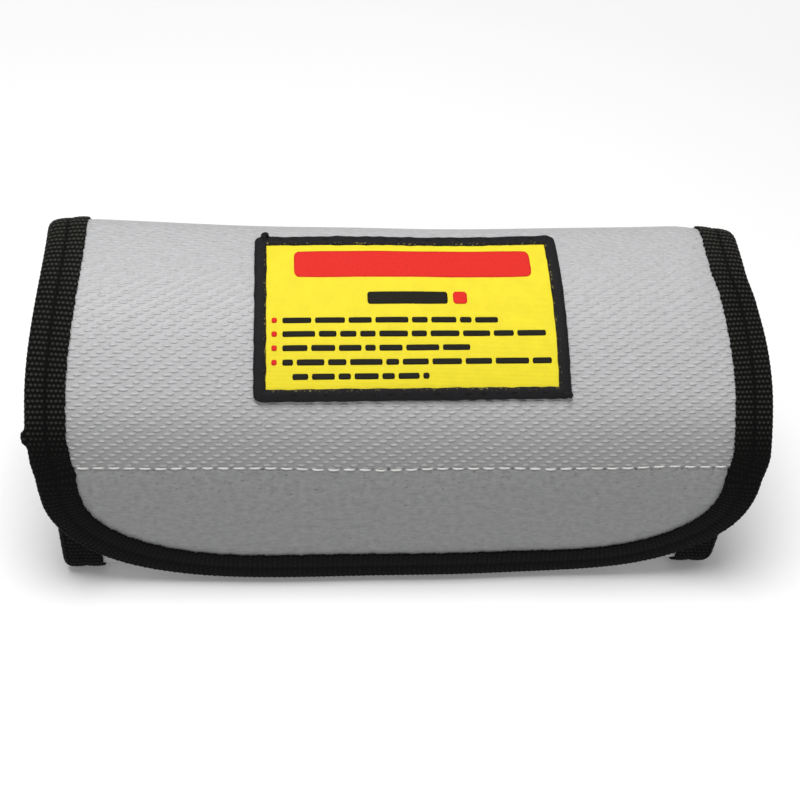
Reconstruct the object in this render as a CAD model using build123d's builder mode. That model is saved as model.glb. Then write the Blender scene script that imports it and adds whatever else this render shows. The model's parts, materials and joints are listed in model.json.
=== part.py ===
from build123d import *
import os
from math import cos, degrees, radians, sin

# A charging bag for model batteries: a cloth trough with two end panels, a curved lid that hinges
# along the top of the back wall, and a drop flap that hangs from the lid and closes the front with
# hook and loop strips.  Every cut edge is bound with folded tape.
# Millimetres.  X is the length, -Y the front, Z up; the origin is the middle of the underside.

# --- driving dimensions ---------------------------------------------------------------------
FLAP_WIDTH = 185.0        # over the tapes of lid and drop flap
CREST_WIDTH = 180.0       # over the lid tapes at the back fold, where they draw in
BODY_WIDTH = 176.0        # over the tapes of the two end seams
BACK_Y = 30.4             # outer face of the back wall
FRONT_Y = -24.0           # outer face of the front wall
HINGE_Z = 67.0            # top of the back wall, where the lid folds
FRONT_TOP_Z = 38.0        # cut edge of the front wall
TROUGH_RADIUS = 6.0       # fold between the underside and the walls

CLOTH = 1.0               # coated glass cloth
LINING = 0.5
PRESSED = 0.5             # one layer of cloth pressed inside a bound seam
TAPE = 0.6                # one layer of binding tape
TAPE_WIDTH = 10.0         # visible width of the folded tape
SEAM_WIDTH = 9.0          # end seam, from the end panel out to the tape's fold
FIT = 0.02                # clearance between layers that touch
BODY_GAP = 0.4            # clearance between parts that swing past each other

# Lid and drop flap, seen along X, are a chain of tangent arcs.  Each arc is its radius and the
# angle of its outward normal, counted from +Y through +Z, where it ends.
FOLD_RADIUS, FOLD_END = 8.0, 95.0
CROWN_RADIUS, CROWN_END = 60.0, 140.0
BROW_RADIUS, BROW_END = 50.0, 160.0
KNEE_RADIUS, KNEE_END = 34.0, 180.0
FALL_RADIUS, FALL_END = 115.0, 195.0

FLAP_BOTTOM_Z = 2.0       # lowest edge of the drop flap
FLAP_CORNER_Z = 9.0       # height of the flap's lower corners, before rounding
FLAP_CORNER_X = 90.5
FLAP_WAIST_Z = 40.0       # below this height the flap's sides draw in
FLAP_SOLE_X = 45.0        # half length of the flap's level lower edge
WAIST_ARC, CORNER_ARC, SOLE_ARC = 60.0, 14.0, 90.0

LABEL_X = 2.5             # the label's centre, to the right of the bag's middle
LABEL_WIDTH, LABEL_HEIGHT = 79.0, 45.0
LABEL_BORDER = 3.3
LABEL_DROP = 1.5          # from the label's lower edge to the flap's fold
LABEL_FACE_RISE, LABEL_EDGE_RISE, PRINT_RISE = 0.8, 1.4, 0.15
# Plain printed bars stand in place of wording.  Distances are right and down from the label's
# top-left corner: left, right, top and bottom of a bar, or left and right of a line.
HEADLINE = (12.5, 69.5, 5.0, 12.5)
SUBLINE, SUBLINE_END = (29.0, 48.5, 16.0, 20.0), (49.5, 54.0, 16.0, 20.0)
LINES = ((7.0, 61.5), (7.0, 73.5), (7.0, 54.0), (7.0, 74.5), (9.5, 43.5))
FIRST_LINE, LINE_PITCH, LINE_HEIGHT = 22.5, 4.1, 1.8
DOT = 1.4                 # side of the dot before each line but the last

STRIP_LENGTH, STRIP_HEIGHT = 140.0, 20.0
LOOP_THICKNESS, HOOK_THICKNESS = 1.6, 1.5
LOOP_BOTTOM_Z = 9.5
MOUTH_TAPE_WIDTH = 8.0    # visible width of the tape on the front wall's upper edge

STITCH_LENGTH, STITCH_PITCH, THREAD = 2.8, 3.9, 0.5

SIDES = {"left": -1, "right": 1}

# --- derived places -------------------------------------------------------------------------
SEAM_X = BODY_WIDTH / 2 - SEAM_WIDTH            # outer face of an end panel
PANEL_INNER_X = SEAM_X - CLOTH
LINING_INNER_X = PANEL_INNER_X - FIT - LINING
BOUND_X = BODY_WIDTH / 2 - TAPE - FIT           # cut edge of the cloth inside an end seam
CORE_DEPTH = TAPE + FIT                         # pressed wrap inside an end seam
TURN_DEPTH = CORE_DEPTH + PRESSED + FIT         # turned edge of the end panel behind it
LINING_DEPTH = CLOTH + FIT
LINING_BACK = LINING_DEPTH + LINING             # inner face of the lining
RIM_DEPTH = LINING_BACK + BODY_GAP              # top of the end panels' rim tape, under the lid
CLOTH_INSET = TAPE + FIT                        # cut edge of lid and flap inside their tape
FAR_Y, FAR_Z = BACK_Y * 2, HINGE_Z * 2          # beyond the bag, for cutting outlines


def chain_of_arcs():
    """Each arc of lid and flap as (centre y, centre z, radius, start angle, end angle)."""
    spans = (
        (FOLD_RADIUS, FOLD_END), (CROWN_RADIUS, CROWN_END), (BROW_RADIUS, BROW_END),
        (KNEE_RADIUS, KNEE_END), (FALL_RADIUS, FALL_END),
    )
    arcs, y, z, start = [], BACK_Y, HINGE_Z, 0.0
    for radius, end in spans:
        centre_y, centre_z = y - radius * cos(radians(start)), z - radius * sin(radians(start))
        arcs.append((centre_y, centre_z, radius, start, end))
        y, z = centre_y + radius * cos(radians(end)), centre_z + radius * sin(radians(end))
        start = end
    return arcs


FOLD, CROWN, BROW, KNEE, FALL = chain_of_arcs()


def on_arc(arc, angle, depth=0.0):
    """The (y, z) point of an arc at a normal's angle, depth below the outer face."""
    centre_y, centre_z, radius = arc[:3]
    return (
        centre_y + (radius - depth) * cos(radians(angle)),
        centre_z + (radius - depth) * sin(radians(angle)),
    )


def degrees_of(length, arc):
    """The angle that a length takes up on an arc's outer face."""
    return degrees(length / arc[2])


# --- sections along X -----------------------------------------------------------------------
def band(arcs, outer, inner):
    """Section of one layer of lid or flap, between two depths below the outer face."""
    with BuildSketch(Plane.YZ) as section:
        with BuildLine():
            for depth in (outer, inner):
                for centre_y, centre_z, radius, start, end in arcs:
                    CenterArc((centre_y, centre_z), radius - depth, start, end - start)
            for arc, angle in ((arcs[0], arcs[0][3]), (arcs[-1], arcs[-1][4])):
                Line(on_arc(arc, angle, outer), on_arc(arc, angle, inner))
        make_face()
    return section.sketch


def trough(outer, inner):
    """Section of one layer of front wall, underside and back wall."""
    def corners(depth):
        front, back = FRONT_Y + depth, BACK_Y - depth
        return [(front, FRONT_TOP_Z), (front, depth), (back, depth), (back, HINGE_Z)]
    with BuildSketch(Plane.YZ) as section:
        with BuildLine():
            FilletPolyline(*corners(outer), radius=TROUGH_RADIUS - outer)
            FilletPolyline(*corners(inner), radius=TROUGH_RADIUS - inner)
            Line(corners(outer)[0], corners(inner)[0])
            Line(corners(outer)[-1], corners(inner)[-1])
        make_face()
    return section.sketch


def end_outline(wall_depth, lid_depth):
    """Outline of an end panel: the trough's inside, closed above by the lid's underside."""
    front, back = FRONT_Y + wall_depth, BACK_Y - wall_depth
    under_lid = (
        (FOLD[0], FOLD[1], FOLD[2] - lid_depth, 0.0, FOLD_END),
        (CROWN[0], CROWN[1], CROWN[2] - lid_depth, FOLD_END, CROWN_END),
        (BROW[0], BROW[1], BROW[2] - lid_depth, CROWN_END, BROW_END),
    )
    first, last = on_arc(FOLD, 0.0, lid_depth), on_arc(BROW, BROW_END, lid_depth)
    with BuildSketch(Plane.YZ) as outline:
        with BuildLine():
            for centre_y, centre_z, radius, start, end in under_lid:
                CenterArc((centre_y, centre_z), radius, start, end - start)
            Polyline(last, (last[0], 0), (first[0], 0), first)
        make_face()
        with BuildSketch(Plane.YZ, mode=Mode.INTERSECT):
            with BuildLine():
                FilletPolyline(
                    (front, FAR_Z), (front, wall_depth), (back, wall_depth),
                    (back, FAR_Z), radius=TROUGH_RADIUS - wall_depth,
                )
                Line((back, FAR_Z), (front, FAR_Z))
            make_face()
    return outline.sketch


# --- outlines seen from above and from the front ---------------------------------------------
def lid_half_width(y):
    """Half the lid's width over its tapes, which widens evenly from the crest to the flap."""
    slope = (FLAP_WIDTH - CREST_WIDTH) / 2 / (FOLD[0] - on_arc(CROWN, CROWN_END)[0])
    return CREST_WIDTH / 2 + slope * (FOLD[0] - y)


def lid_outline(inset):
    """Plan of the lid, drawn in by inset at both sides."""
    ends = (FAR_Y, -BACK_Y)
    half = [lid_half_width(y) - inset for y in ends]
    with BuildSketch() as plan:
        with BuildLine():
            Polyline(
                (-half[0], ends[0]), (-half[1], ends[1]), (half[1], ends[1]), (half[0], ends[0]),
                close=True,
            )
        make_face()
    return plan.sketch


def flap_outline(inset):
    """Front view of the drop flap, drawn in by inset; it runs on above the fold."""
    half = FLAP_WIDTH / 2
    right = [(FLAP_SOLE_X, FLAP_BOTTOM_Z), (FLAP_CORNER_X, FLAP_CORNER_Z), (half, FLAP_WAIST_Z)]
    left = [(-x, z) for x, z in reversed(right)]
    radii = [WAIST_ARC, CORNER_ARC, SOLE_ARC]
    with BuildSketch(Plane.XZ) as front:
        with BuildLine():
            FilletPolyline((-half, FAR_Z), *left, *right, (half, FAR_Z), radius=radii + radii[::-1])
            Line((half, FAR_Z), (-half, FAR_Z))
        make_face()
        if inset:
            offset(amount=-inset, kind=Kind.INTERSECTION, mode=Mode.REPLACE)
    return front.sketch


# --- small makers ---------------------------------------------------------------------------
def across(sketch, start_x, end_x, mode=Mode.ADD):
    """Extrudes a section along X between two places, inside the open part."""
    placed = Pos(start_x, 0, 0) * sketch
    extrude(placed, amount=end_x - start_x, mode=mode)


def both_ways(sketch, half_x, mode=Mode.ADD):
    """Extrudes a section along X to both sides of the middle."""
    extrude(sketch, amount=half_x, both=True, mode=mode)


def trim_to_lid(inset):
    extrude(lid_outline(inset), amount=FAR_Z, mode=Mode.INTERSECT)


def trim_to_flap(inset, mode=Mode.INTERSECT):
    extrude(flap_outline(inset), amount=FAR_Y, both=True, mode=mode)


def stitch_row(places):
    """One short thread on each plane, lying along the plane's X just above its origin."""
    with BuildPart() as row:
        with Locations(*[plane.offset(FIT + THREAD / 4) for plane in places]):
            Box(STITCH_LENGTH, THREAD, THREAD / 2)
    return row


def spread(start, end):
    """Places a stitch pitch apart, centred between two ends."""
    count = int(abs(end - start) / STITCH_PITCH)
    middle, step = (start + end) / 2, (end - start) / abs(end - start) * STITCH_PITCH
    return [middle + (index - (count - 1) / 2) * step for index in range(count)]


# --- bag ------------------------------------------------------------------------------------
def make_outer_wrap():
    """Front wall, underside and back wall in one cloth, thinned where the end seams press it."""
    with BuildPart() as wrap:
        both_ways(trough(0, CLOTH), SEAM_X)
        for side in SIDES.values():
            across(trough(CORE_DEPTH, CORE_DEPTH + PRESSED), side * SEAM_X, side * BOUND_X)
    return wrap


def make_lining_wrap():
    with BuildPart() as lining:
        both_ways(trough(LINING_DEPTH, LINING_BACK), LINING_INNER_X - FIT)
    return lining


def make_end_panel(side):
    """End panel with its edge turned outward into the seam."""
    with BuildPart() as panel:
        across(end_outline(CLOTH + FIT, RIM_DEPTH + TAPE + FIT), side * PANEL_INNER_X, side * SEAM_X)
        across(trough(TURN_DEPTH, TURN_DEPTH + PRESSED), side * PANEL_INNER_X, side * BOUND_X)
    return panel


def make_lining_end(side):
    with BuildPart() as lining:
        across(
            end_outline(LINING_BACK + FIT, RIM_DEPTH + TAPE + FIT),
            side * LINING_INNER_X, side * (PANEL_INNER_X - FIT),
        )
    return lining


def make_end_binding(side):
    """Tape folded over the seam between wrap and end panel."""
    inner_depth = TURN_DEPTH + PRESSED + FIT
    with BuildPart() as binding:
        across(trough(0, inner_depth + TAPE), side * (SEAM_X + FIT), side * BODY_WIDTH / 2)
        across(
            trough(TAPE, inner_depth), side * SEAM_X, side * (BODY_WIDTH / 2 - TAPE),
            mode=Mode.SUBTRACT,
        )
    return binding


def make_end_stitches(side):
    """Seam stitches on the outside of an end binding, up the front and back walls and below."""
    x = side * (SEAM_X + SEAM_WIDTH / 2)
    walls = (
        (FRONT_Y, -1, spread(TROUGH_RADIUS, FRONT_TOP_Z)),
        (BACK_Y, 1, spread(TROUGH_RADIUS, HINGE_Z)),
    )
    places = [
        Plane((x, y, z), x_dir=(0, 0, 1), z_dir=(0, facing, 0))
        for y, facing, heights in walls for z in heights
    ]
    return stitch_row(places)


def make_mouth_binding():
    """Tape folded over the top edge of the front wall."""
    outer, inner = FRONT_Y - TAPE, FRONT_Y + LINING_BACK + TAPE
    top, layer = FRONT_TOP_Z + TAPE + FIT, TAPE - FIT
    foot, half = top - MOUTH_TAPE_WIDTH, LINING_INNER_X - 2 * FIT
    with BuildPart() as binding:
        with BuildSketch(Plane.YZ):
            with BuildLine():
                Polyline(
                    (outer, foot), (outer, top), (inner, top), (inner, foot),
                    (inner - layer, foot), (inner - layer, top - TAPE),
                    (outer + layer, top - TAPE), (outer + layer, foot), close=True,
                )
            make_face()
        extrude(amount=half, both=True)
    return binding


def make_mouth_stitches():
    y, z = FRONT_Y - TAPE, FRONT_TOP_Z + TAPE - MOUTH_TAPE_WIDTH / 2
    half = LINING_INNER_X - STITCH_LENGTH
    return stitch_row([Plane((x, y, z), x_dir=(1, 0, 0), z_dir=(0, -1, 0)) for x in spread(-half, half)])


def make_rim_binding(side):
    """Tape folded over the free upper edge of an end panel, from back wall to front wall."""
    inner_x, outer_x = side * (LINING_INNER_X - FIT - TAPE), side * (SEAM_X + FIT + TAPE)
    edge = end_outline(TURN_DEPTH + PRESSED + TAPE + 3 * FIT, RIM_DEPTH)
    below = offset(edge, amount=-TAPE_WIDTH, kind=Kind.INTERSECTION)
    front_end = FRONT_TOP_Z + TAPE + BODY_GAP
    back_end = HINGE_Z - TAPE_WIDTH / 2
    with BuildPart() as binding:
        across(edge, inner_x, outer_x)
        across(below, inner_x, outer_x, mode=Mode.SUBTRACT)
        across(
            end_outline(CLOTH, RIM_DEPTH + TAPE), side * (LINING_INNER_X - FIT), side * (SEAM_X + FIT),
            mode=Mode.SUBTRACT,
        )
        split(bisect_by=Plane.XY.offset(front_end), keep=Keep.TOP)
        with Locations((0, BACK_Y, back_end)):
            Box(BODY_WIDTH * 2, BACK_Y, HINGE_Z, align=(Align.CENTER, Align.CENTER, Align.MAX),
                mode=Mode.SUBTRACT)
    return binding


def make_loop_strip():
    """Soft loop strip on the outside of the front wall."""
    with BuildPart() as strip:
        with BuildSketch(Plane.XZ.offset(-FRONT_Y + FIT)):
            with Locations((0, LOOP_BOTTOM_Z + STRIP_HEIGHT / 2)):
                RectangleRounded(STRIP_LENGTH, STRIP_HEIGHT, TAPE)
        extrude(amount=LOOP_THICKNESS)
    return strip


def make_loop_stitches():
    """Two rows of stitches along the loop strip's long edges."""
    y = FRONT_Y - FIT - LOOP_THICKNESS
    rows = (LOOP_BOTTOM_Z + 2 * THREAD, LOOP_BOTTOM_Z + STRIP_HEIGHT - 2 * THREAD)
    half = STRIP_LENGTH / 2 - THREAD
    return stitch_row(
        [Plane((x, y, z), x_dir=(1, 0, 0), z_dir=(0, -1, 0)) for z in rows for x in spread(-half, half)]
    )


# --- lid ------------------------------------------------------------------------------------
LID_START = degrees_of(BODY_GAP, FOLD)          # the lid's cut at the hinge
LID_ARCS = [(*FOLD[:3], LID_START, FOLD_END), CROWN]
LID_TAPE_START = 45.0                           # the side tapes begin on the back fold
LID_TAPE_ARCS = [(*FOLD[:3], LID_TAPE_START, FOLD_END), CROWN]


def make_lid_layer(outer, inner, inset):
    with BuildPart() as layer:
        both_ways(band(LID_ARCS, outer, inner), FLAP_WIDTH / 2)
        trim_to_lid(inset)
    return layer


def make_lid_binding(side):
    """Tape folded over one side edge of the lid."""
    inner = LINING_BACK + FIT + TAPE
    reach = side * FLAP_WIDTH
    with BuildPart() as binding:
        across(band(LID_TAPE_ARCS, -TAPE, inner), 0, reach)
        trim_to_lid(0)
        extrude(lid_outline(TAPE_WIDTH), amount=FAR_Z, mode=Mode.SUBTRACT)
        with BuildPart(mode=Mode.SUBTRACT):
            across(band(LID_ARCS, 0, LINING_BACK + FIT), 0, reach)
            trim_to_lid(TAPE)
    return binding


def make_lid_stitches(side):
    """Seam stitches along the middle of a lid binding."""
    step = degrees_of(STITCH_LENGTH, CROWN)
    places = []
    for length in spread(0, (CROWN_END - FOLD_END - step) / degrees_of(1, CROWN)):
        angle = FOLD_END + step / 2 + degrees_of(length, CROWN)
        y, z = on_arc(CROWN, angle, -TAPE)
        normal = (0, cos(radians(angle)), sin(radians(angle)))
        along = (0, -sin(radians(angle)), cos(radians(angle)))
        x = side * (lid_half_width(y) - TAPE_WIDTH / 2)
        places.append(Plane((x, y, z), x_dir=along, z_dir=normal))
    return stitch_row(places)


LABEL_END = CROWN_END - degrees_of(LABEL_DROP, CROWN)
LABEL_START = LABEL_END - degrees_of(LABEL_HEIGHT, CROWN)


def label_patch(left, right, top, bottom, outer, inner, mode=Mode.ADD):
    """Part of the label, from its top-left corner: distances right and down its face."""
    start, end = LABEL_START + degrees_of(top, CROWN), LABEL_START + degrees_of(bottom, CROWN)
    corner_x = LABEL_X - LABEL_WIDTH / 2
    across(band([(*CROWN[:3], start, end)], outer, inner), corner_x + left, corner_x + right, mode=mode)


def make_label_face():
    """Woven yellow field of the label."""
    edge = LABEL_BORDER + FIT
    with BuildPart() as face:
        label_patch(edge, LABEL_WIDTH - edge, edge, LABEL_HEIGHT - edge, -LABEL_FACE_RISE, -FIT)
    return face


def make_label_border():
    """Raised overlocked edge of the label."""
    edge = LABEL_BORDER
    with BuildPart() as border:
        label_patch(0, LABEL_WIDTH, 0, LABEL_HEIGHT, -LABEL_EDGE_RISE, -FIT)
        label_patch(
            edge, LABEL_WIDTH - edge, edge, LABEL_HEIGHT - edge, -2 * LABEL_EDGE_RISE, 0,
            mode=Mode.SUBTRACT,
        )
    return border


def print_bars(bars):
    with BuildPart() as ink:
        for bar in bars:
            label_patch(*bar, -LABEL_FACE_RISE - PRINT_RISE, -LABEL_FACE_RISE - FIT)
    return ink


def make_label_print_black():
    """The sub-line and the five lines of print."""
    tops = [FIRST_LINE + index * LINE_PITCH for index in range(len(LINES))]
    return print_bars([SUBLINE] + [(*line, top, top + LINE_HEIGHT) for line, top in zip(LINES, tops)])


def make_label_print_red():
    """The headline, the sub-line's end and a dot before each line but the last."""
    bars = [HEADLINE, SUBLINE_END]
    for index, (left, _) in enumerate(LINES[:-1]):
        middle = FIRST_LINE + index * LINE_PITCH + LINE_HEIGHT / 2
        bars.append((left - 2 * DOT, left - DOT, middle - DOT / 2, middle + DOT / 2))
    return print_bars(bars)


def make_label_stitches():
    """Stitches that hold the label, along the top and bottom of its border."""
    places = []
    for inset in (LABEL_BORDER / 2, LABEL_HEIGHT - LABEL_BORDER / 2):
        angle = LABEL_START + degrees_of(inset, CROWN)
        y, z = on_arc(CROWN, angle, -LABEL_EDGE_RISE)
        normal = (0, cos(radians(angle)), sin(radians(angle)))
        for x in spread(LABEL_X - LABEL_WIDTH / 2, LABEL_X + LABEL_WIDTH / 2):
            places.append(Plane((x, y, z), x_dir=(1, 0, 0), z_dir=normal))
    return stitch_row(places)


# --- drop flap ------------------------------------------------------------------------------
FLAP_START = CROWN_END + degrees_of(BODY_GAP, BROW)
FLAP_ARCS = [(*BROW[:3], FLAP_START, BROW_END), KNEE, FALL]


def make_flap_layer(outer, inner, inset):
    with BuildPart() as layer:
        both_ways(band(FLAP_ARCS, outer, inner), FLAP_WIDTH / 2)
        trim_to_flap(inset)
    return layer


def make_flap_binding():
    """One tape folded over the flap's left side, lower edge and right side."""
    with BuildPart() as binding:
        both_ways(band(FLAP_ARCS, -TAPE, LINING_BACK + FIT + TAPE), FLAP_WIDTH / 2)
        trim_to_flap(0)
        trim_to_flap(TAPE_WIDTH, mode=Mode.SUBTRACT)
        with BuildPart(mode=Mode.SUBTRACT):
            both_ways(band(FLAP_ARCS, 0, LINING_BACK + FIT), FLAP_WIDTH / 2)
            trim_to_flap(TAPE)
    return binding


def flap_place(x, z, along, rise):
    """Plane on the flap's outer face at a point of its front view, along a front-view direction."""
    arc = next(a for a in (BROW, KNEE, FALL) if on_arc(a, a[4])[1] <= z)
    sine = (z - arc[1]) / arc[2]
    cosine = -((1 - sine**2) ** 0.5)
    y = arc[0] + (arc[2] + rise) * cosine
    normal = Vector(0, cosine, sine)
    drift = Vector(along.X, 0, along.Z) - normal * (along.Z * sine)
    return Plane((x, y, z + rise * sine), x_dir=drift, z_dir=normal)


def make_flap_binding_stitches():
    """Seam stitches along the middle of the flap's tape."""
    path = flap_outline(TAPE_WIDTH / 2).wires()[0]
    count = int(path.length / STITCH_PITCH)
    ceiling = on_arc(BROW, FLAP_START)[1] - STITCH_LENGTH
    places = []
    for index in range(count):
        point, along = path @ (index / count), path % (index / count)
        if point.Z < ceiling:
            places.append(flap_place(point.X, point.Z, along, TAPE))
    return stitch_row(places)


def make_hook_strip():
    """Hook strip on the inside of the flap, facing the loops."""
    foot = KNEE_END + degrees_of(STRIP_HEIGHT - KNEE_RADIUS * radians(KNEE_END - BROW_END), FALL)
    arcs = [KNEE, (*FALL[:3], KNEE_END, foot)]
    inner_face = LINING_BACK + FIT
    with BuildPart() as strip:
        both_ways(band(arcs, inner_face, inner_face + HOOK_THICKNESS), STRIP_LENGTH / 2)
    return strip


def make_closure_stitches():
    """White seam across the outside of the flap, along the hook strip's upper edge."""
    y, z = on_arc(BROW, BROW_END)
    normal = (0, cos(radians(BROW_END)), sin(radians(BROW_END)))
    half = FLAP_WIDTH / 2 - TAPE_WIDTH - THREAD
    return stitch_row([Plane((x, y, z), x_dir=(1, 0, 0), z_dir=normal) for x in spread(-half, half)])


def all_pieces():
    pieces = {
        "outer_wrap": make_outer_wrap(),
        "lining_wrap": make_lining_wrap(),
        "mouth_binding": make_mouth_binding(),
        "mouth_stitches": make_mouth_stitches(),
        "loop_strip": make_loop_strip(),
        "loop_stitches": make_loop_stitches(),
        "lid_cloth": make_lid_layer(0, CLOTH, CLOTH_INSET),
        "lid_lining": make_lid_layer(LINING_DEPTH, LINING_BACK, CLOTH_INSET),
        "label_face": make_label_face(),
        "label_border": make_label_border(),
        "label_print_black": make_label_print_black(),
        "label_print_red": make_label_print_red(),
        "label_stitches": make_label_stitches(),
        "flap_cloth": make_flap_layer(0, CLOTH, CLOTH_INSET),
        "flap_lining": make_flap_layer(LINING_DEPTH, LINING_BACK, CLOTH_INSET),
        "flap_binding": make_flap_binding(),
        "flap_binding_stitches": make_flap_binding_stitches(),
        "hook_strip": make_hook_strip(),
        "closure_stitches": make_closure_stitches(),
    }
    for name, side in SIDES.items():
        pieces["end_panel_" + name] = make_end_panel(side)
        pieces["lining_end_" + name] = make_lining_end(side)
        pieces["end_binding_" + name] = make_end_binding(side)
        pieces["end_stitches_" + name] = make_end_stitches(side)
        pieces["rim_binding_" + name] = make_rim_binding(side)
        pieces["lid_binding_" + name] = make_lid_binding(side)
        pieces["lid_stitches_" + name] = make_lid_stitches(side)
    return pieces


# --- files ----------------------------------------------------------------------------------
os.makedirs("parts", exist_ok=True)
for name, piece in all_pieces().items():
    piece.part.label = name
    export_step(piece.part, f"parts/{name}.step")
    print(name, len(piece.part.solids()), "solids,", round(piece.part.volume, 1), "mm3")
hinge_y, hinge_z = on_arc(FOLD, 0)
fold_y, fold_z = on_arc(CROWN, CROWN_END, -TAPE)
print("lid hinge at y, z:", round(hinge_y, 3), round(hinge_z, 3))
print("flap fold at y, z:", round(fold_y, 3), round(fold_z, 3))
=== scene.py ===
import json
import math

import bmesh
import bpy
import numpy as np
from mathutils import Matrix, Vector


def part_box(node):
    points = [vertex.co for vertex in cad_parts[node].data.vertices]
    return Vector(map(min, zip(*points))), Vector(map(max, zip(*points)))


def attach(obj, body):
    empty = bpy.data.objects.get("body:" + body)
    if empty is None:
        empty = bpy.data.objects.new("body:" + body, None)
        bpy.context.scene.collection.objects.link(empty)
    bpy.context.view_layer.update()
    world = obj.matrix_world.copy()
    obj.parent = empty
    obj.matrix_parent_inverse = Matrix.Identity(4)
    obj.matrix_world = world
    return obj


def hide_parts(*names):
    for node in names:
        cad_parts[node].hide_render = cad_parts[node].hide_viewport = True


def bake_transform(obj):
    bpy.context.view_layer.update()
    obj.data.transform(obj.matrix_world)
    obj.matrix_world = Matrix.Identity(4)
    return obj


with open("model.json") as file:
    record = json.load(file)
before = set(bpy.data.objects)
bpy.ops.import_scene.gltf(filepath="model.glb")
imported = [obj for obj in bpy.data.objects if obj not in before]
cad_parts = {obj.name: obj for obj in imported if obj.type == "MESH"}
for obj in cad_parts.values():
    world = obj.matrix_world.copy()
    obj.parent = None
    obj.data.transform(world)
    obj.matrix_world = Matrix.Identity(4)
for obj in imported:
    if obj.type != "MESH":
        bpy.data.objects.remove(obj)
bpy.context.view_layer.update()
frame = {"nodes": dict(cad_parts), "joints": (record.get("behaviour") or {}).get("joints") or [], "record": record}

MM = 0.001

# Everything below is in millimetres until a mesh is made.  The outer face of lid and drop flap is
# a chain of tangent arcs that starts at the lid's hinge: radius, and the angle of the outward
# normal, from +Y through +Z, where the arc ends.
HINGES = {joint["name"]: joint for joint in frame["joints"]}
HINGE_Y, HINGE_Z = (value / MM for value in HINGES["lid_hinge"]["pos_m"][1:])
ARCS = ((8.0, 95.0), (60.0, 140.0), (50.0, 160.0), (34.0, 180.0), (115.0, 195.0))
CLOTH, LINING, TAPE = 1.0, 0.5, 0.6      # thickness of each layer
TAPE_WIDTH = 10.0                        # visible width of the folded tape
SEAM_WIDTH = 9.0                         # end seams, from the end panel out to the tape's fold
TROUGH_RADIUS = 6.0                      # fold between underside and walls


def node_low(name):
    return np.array(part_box(name)[0]) / MM


def node_high(name):
    return np.array(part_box(name)[1]) / MM


FRONT_Y, BACK_Y = node_low("outer_wrap")[1], node_high("outer_wrap")[1]
FRONT_TOP_Z = 38.0                       # cut edge of the front wall
BODY_HALF = node_high("end_binding_right")[0]
SEAM_X = BODY_HALF - SEAM_WIDTH
FLAP_HALF = node_high("flap_binding")[0]
CREST_HALF = 89.0                        # half width over the lid tapes at the back fold
FLAP_BOTTOM_Z = node_low("flap_binding")[2]


# --- sums on rows of numbers -----------------------------------------------------------------
def as_arrays(*values):
    return np.broadcast_arrays(*(np.asarray(value, float) for value in values))


def unit(rows):
    """Vectors, one a row, made one long."""
    return rows / np.linalg.norm(rows, axis=1)[:, None]


def distances(path):
    """Length along a path at each of its points."""
    return np.concatenate([[0], np.cumsum(np.linalg.norm(np.diff(path, axis=0), axis=1))])


def smooth(t):
    """A soft step from 0 to 1 as t goes from 0 to 1."""
    t = np.clip(t, 0, 1)
    return t * t * (3 - 2 * t)


def hill(t):
    """A soft hill, 1 at t = 0 and all but 0 from 2 on."""
    return np.exp(-(t**2))


def waves(u, v, seed, count=6, shortest=26.0, longest=90.0):
    """A sum of soft waves over the sheet, from about -1 to 1, the same on every run."""
    draw = np.random.default_rng(seed)
    total = np.zeros(np.broadcast(u, v).shape)
    for _ in range(count):
        angle, length = draw.uniform(0, math.pi), draw.uniform(shortest, longest)
        phase = draw.uniform(0, 2 * math.pi)
        along = u * math.cos(angle) + v * math.sin(angle)
        total += np.sin(2 * math.pi * along / length + phase) / count
    return total * 1.6


# --- the curved sheet of lid and drop flap ---------------------------------------------------
def arc_table():
    """Start length, start angle, radius and centre of each arc, and the whole length."""
    rows, length, start, y, z = [], 0.0, 0.0, HINGE_Y, HINGE_Z
    for radius, end in ARCS:
        centre_y = y - radius * math.cos(math.radians(start))
        centre_z = z - radius * math.sin(math.radians(start))
        rows.append((length, start, radius, centre_y, centre_z))
        length += radius * math.radians(end - start)
        y = centre_y + radius * math.cos(math.radians(end))
        z = centre_z + radius * math.sin(math.radians(end))
        start = end
    return rows, length


ARC_ROWS, PROFILE_LENGTH = arc_table()
CREST_V, FOLD_V, STITCH_V = (ARC_ROWS[i][0] for i in (1, 2, 3))
SEWN_V = STITCH_V - 0.6                  # the closure's stitches, just above the flat panel


def profile(v):
    """(y, z) of the outer face and its outward normal, v along the sheet from the hinge."""
    v = np.asarray(v, float)
    y, z = np.full(v.shape, HINGE_Y), HINGE_Z + v
    ny, nz = np.ones(v.shape), np.zeros(v.shape)
    for start_v, start, radius, centre_y, centre_z in ARC_ROWS:
        on = v >= start_v
        angle = np.radians(start) + (v - start_v) / radius
        ny, nz = np.where(on, np.cos(angle), ny), np.where(on, np.sin(angle), nz)
        y = np.where(on, centre_y + radius * np.cos(angle), y)
        z = np.where(on, centre_z + radius * np.sin(angle), z)
    return y, z, ny, nz


def flap_end():
    """The length v at which the sheet reaches the flap's lower edge."""
    steps = np.linspace(STITCH_V, PROFILE_LENGTH, 2000)
    return float(np.interp(-FLAP_BOTTOM_Z, -profile(steps)[1], steps))


FLAP_END_V = flap_end()
CORNER_LENGTH, CORNER_HEIGHT = 56.0, 33.0    # the flap's rounded lower corners, along and up
WAIST_V = STITCH_V - 4.0                     # below this the flap's sides draw in


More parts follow.
